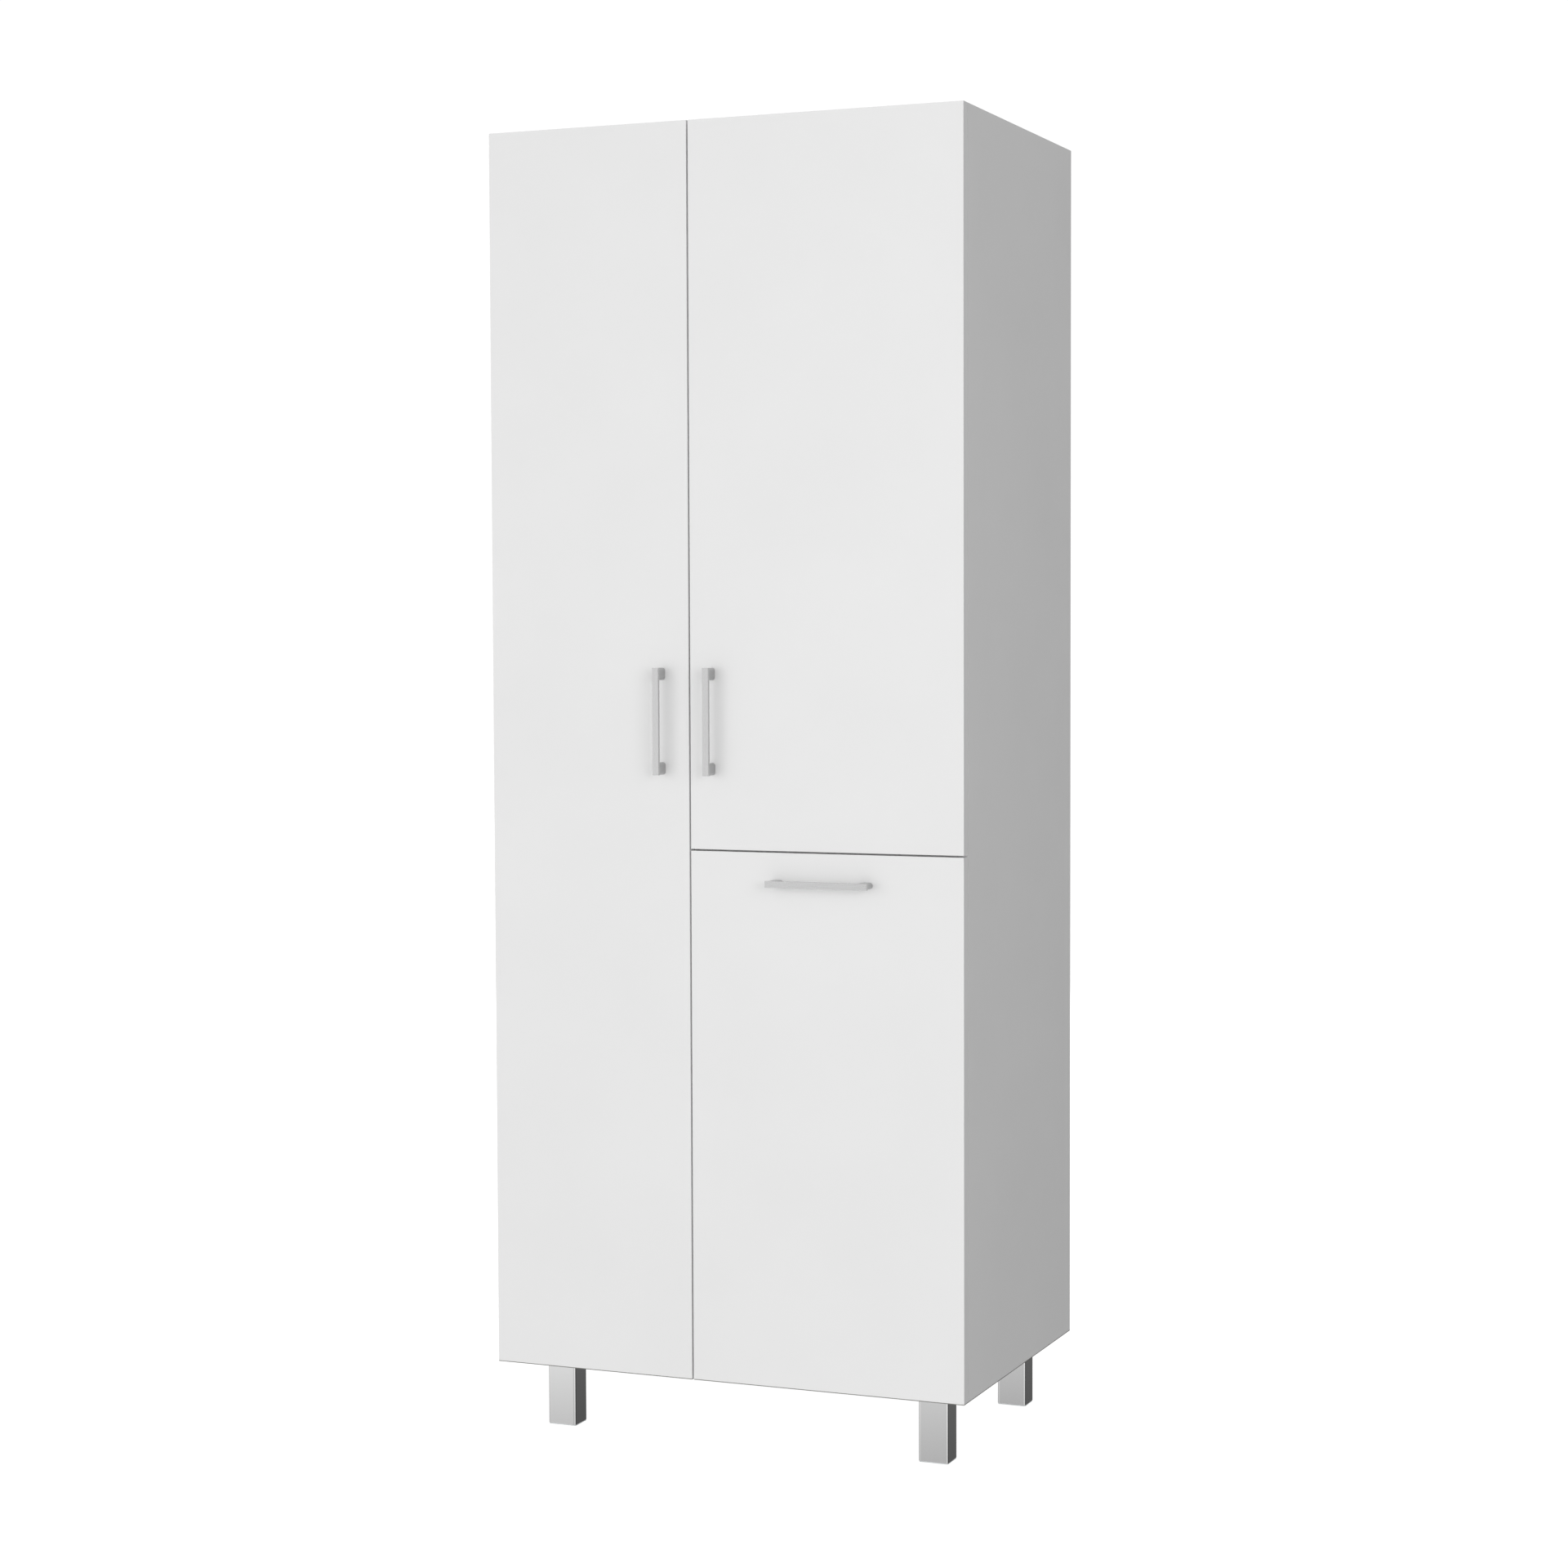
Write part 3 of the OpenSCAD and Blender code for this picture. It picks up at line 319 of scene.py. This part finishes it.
def finish_of(node):
    """The node's own slot, except that the bin's bar has its grain level and the posts get a rougher,
    cast finish in a darker copy of the handle metal, painted shade.
    """
    if node == "bin_handle_bar":
        return "level_metal"
    return "shaded_post_metal" if node.endswith("_handle_posts") else SLOT_OF[node]


def dress(node, materials):
    """Give a CAD piece its material, and fine rounded edges where its slot has them."""
    piece = NODES[node]
    slot = SLOT_OF[node]
    piece.data.materials.clear()
    piece.data.materials.append(materials[finish_of(node)])
    if slot in EDGE_OF:
        bevel = piece.modifiers.new("edge", "BEVEL")
        bevel.width = EDGE_OF[slot]
        bevel.segments = 2
        bevel.limit_method = "ANGLE"
        bevel.angle_limit = EDGE_ANGLE
        bevel.harden_normals = True


# ------------------------------------------------------------------ studio
FLOOR_SIZE = 24.0
FLOOR_TONE = 0.30
FLOOR_GLOW = (0.95, 1.02)
FLOOR_GLOW_REACH = (0.4, 2.4)


def make_floor():
    """A pale floor that glows like a lit sweep, more so further out, where it meets the background.
    It is left out of reflections and bounced light, so it lights nothing."""
    s = Shader("studio_floor")
    s.colour(s.mix(s.noise(0.8, 2.0), grey(FLOOR_TONE), grey(FLOOR_TONE + 0.01)))
    s.fixed(Roughness=0.9, Specular_IOR_Level=0.0, Emission_Color=WHITE)
    length = s.tree.nodes.new("ShaderNodeVectorMath")
    length.operation = "LENGTH"
    s.link(s.coords, length.inputs[0])
    glow = s.span(length.outputs["Value"], *FLOOR_GLOW, *FLOOR_GLOW_REACH)
    s.link(glow, s.principled.inputs["Emission Strength"])
    half = FLOOR_SIZE / 2
    mesh = bpy.data.meshes.new("floor")
    corners = [(-half, -half, 0), (half, -half, 0), (half, half, 0), (-half, half, 0)]
    mesh.from_pydata(corners, [], [(0, 1, 2, 3)])
    mesh.materials.append(s.material)
    floor = bpy.data.objects.new("floor", mesh)
    scene.collection.objects.link(floor)
    floor.visible_glossy = False
    floor.visible_diffuse = False


# Each lamp's place, aim, width and height, and power.
CABINET_MIDDLE = (0, 0, 0.85)
CABINET_TOP = (0, 0.2, 1.7)
LAMPS = {
    "key": ((-2.9, -6.4, 0.75), CABINET_MIDDLE, (5.4, 5.0), 121),
    "fill": ((2.6, -2.6, 1.4), CABINET_MIDDLE, (1.6, 1.6), 21.8),
    "overhead": ((0, 1.3, 4.2), CABINET_TOP, (3.0, 2.0), 40),
    "rear": ((-1.6, 4.5, 1.6), CABINET_MIDDLE, (2.4, 2.4), 60),
}


def area_light(name, place, aim, size, power):
    """A soft rectangular lamp that nothing mirrors, so that metal shows only the world."""
    data = bpy.data.lights.new(name, "AREA")
    data.shape = "RECTANGLE"
    data.size, data.size_y = size
    data.energy = power
    lamp = bpy.data.objects.new(name, data)
    scene.collection.objects.link(lamp)
    lamp.location = place
    lamp.rotation_euler = (Vector(aim) - Vector(place)).to_track_quat("-Z", "Y").to_euler()
    lamp.visible_camera = False
    lamp.visible_glossy = False


# What the room sends from each side: a middle value, and its slopes to the right, back and up.
ROOM_MIDDLE = 0.46
ROOM_SLOPE = (-0.08, -0.31, -0.20)

# What polished metal sees round the horizon, from the front (0 degrees) through the right (90):
# soft white in front, a bright strip on the right, then the dark end of the room.
SHEEN = (
    (-180, 0.40), (-110, 0.65), (-60, 1.20), (-28, 1.33), (-17, 0.90), (5, 0.94), (40, 1.41),
    (72, 1.58), (88, 0.04), (120, 0.06), (147, 0.175), (168, 0.175), (180, 0.40),
)
SHEEN_FULL = 1.6
BACKDROP = 1.05


def room_light(tree, direction):
    """A background whose strength rises and falls with the direction it is seen in."""
    dot = tree.nodes.new("ShaderNodeVectorMath")
    dot.operation = "DOT_PRODUCT"
    dot.inputs[1].default_value = ROOM_SLOPE
    tree.links.new(direction, dot.inputs[0])
    add = tree.nodes.new("ShaderNodeMath")
    add.inputs[1].default_value = ROOM_MIDDLE
    tree.links.new(dot.outputs["Value"], add.inputs[0])
    light = tree.nodes.new("ShaderNodeBackground")
    tree.links.new(add.outputs["Value"], light.inputs["Strength"])
    light.inputs["Color"].default_value = WHITE
    return light.outputs[0]


def sheen_light(tree, direction):
    """A background that changes with the bearing it is seen at, as SHEEN says."""
    parts = tree.nodes.new("ShaderNodeSeparateXYZ")
    tree.links.new(direction, parts.inputs[0])
    front = tree.nodes.new("ShaderNodeMath")
    front.operation = "MULTIPLY"
    front.inputs[1].default_value = -1
    tree.links.new(parts.outputs["Y"], front.inputs[0])
    bearing = tree.nodes.new("ShaderNodeMath")
    bearing.operation = "ARCTAN2"
    tree.links.new(parts.outputs["X"], bearing.inputs[0])
    tree.links.new(front.outputs[0], bearing.inputs[1])
    share = tree.nodes.new("ShaderNodeMapRange")
    share.inputs["From Min"].default_value = -pi
    share.inputs["From Max"].default_value = pi
    tree.links.new(bearing.outputs[0], share.inputs["Value"])
    ramp = tree.nodes.new("ShaderNodeValToRGB")
    stops = ramp.color_ramp.elements
    while len(stops) < len(SHEEN):
        stops.new(0.5)
    for stop, (degrees, level) in zip(stops, SHEEN):
        stop.position = (degrees + 180) / 360
        stop.color = (*grey(level / SHEEN_FULL), 1)
    tree.links.new(share.outputs["Result"], ramp.inputs["Fac"])
    light = tree.nodes.new("ShaderNodeBackground")
    light.inputs["Strength"].default_value = SHEEN_FULL
    tree.links.new(ramp.outputs["Color"], light.inputs["Color"])
    return light.outputs[0]


def mixed(tree, choice, first, second):
    """The first shader where choice is 0, and the second where it is 1."""
    mix = tree.nodes.new("ShaderNodeMixShader")
    tree.links.new(choice, mix.inputs["Fac"])
    tree.links.new(first, mix.inputs[1])
    tree.links.new(second, mix.inputs[2])
    return mix.outputs[0]


def make_world():
    """White to the eye, soft and uneven as a light so that the right side stays in shade, and as
    SHEEN says in metal."""
    world = bpy.data.worlds.new("studio")
    scene.world = world
    world.use_nodes = True
    tree = world.node_tree
    direction = tree.nodes.new("ShaderNodeTexCoord").outputs["Generated"]
    path = tree.nodes.new("ShaderNodeLightPath").outputs
    seen = tree.nodes["Background"]
    seen.inputs["Color"].default_value = WHITE
    seen.inputs["Strength"].default_value = BACKDROP
    lit = mixed(tree, path["Is Glossy Ray"], room_light(tree, direction), sheen_light(tree, direction))
    shown = mixed(tree, path["Is Camera Ray"], lit, seen.outputs[0])
    tree.links.new(shown, tree.nodes["World Output"].inputs["Surface"])


def main():
    scene.view_settings.view_transform = "Standard"
    make_camera()
    materials = make_materials()
    for node in NODES:
        dress(node, materials)
    make_floor()
    for name, lamp in LAMPS.items():
        area_light(name, *lamp)
    make_world()


main()
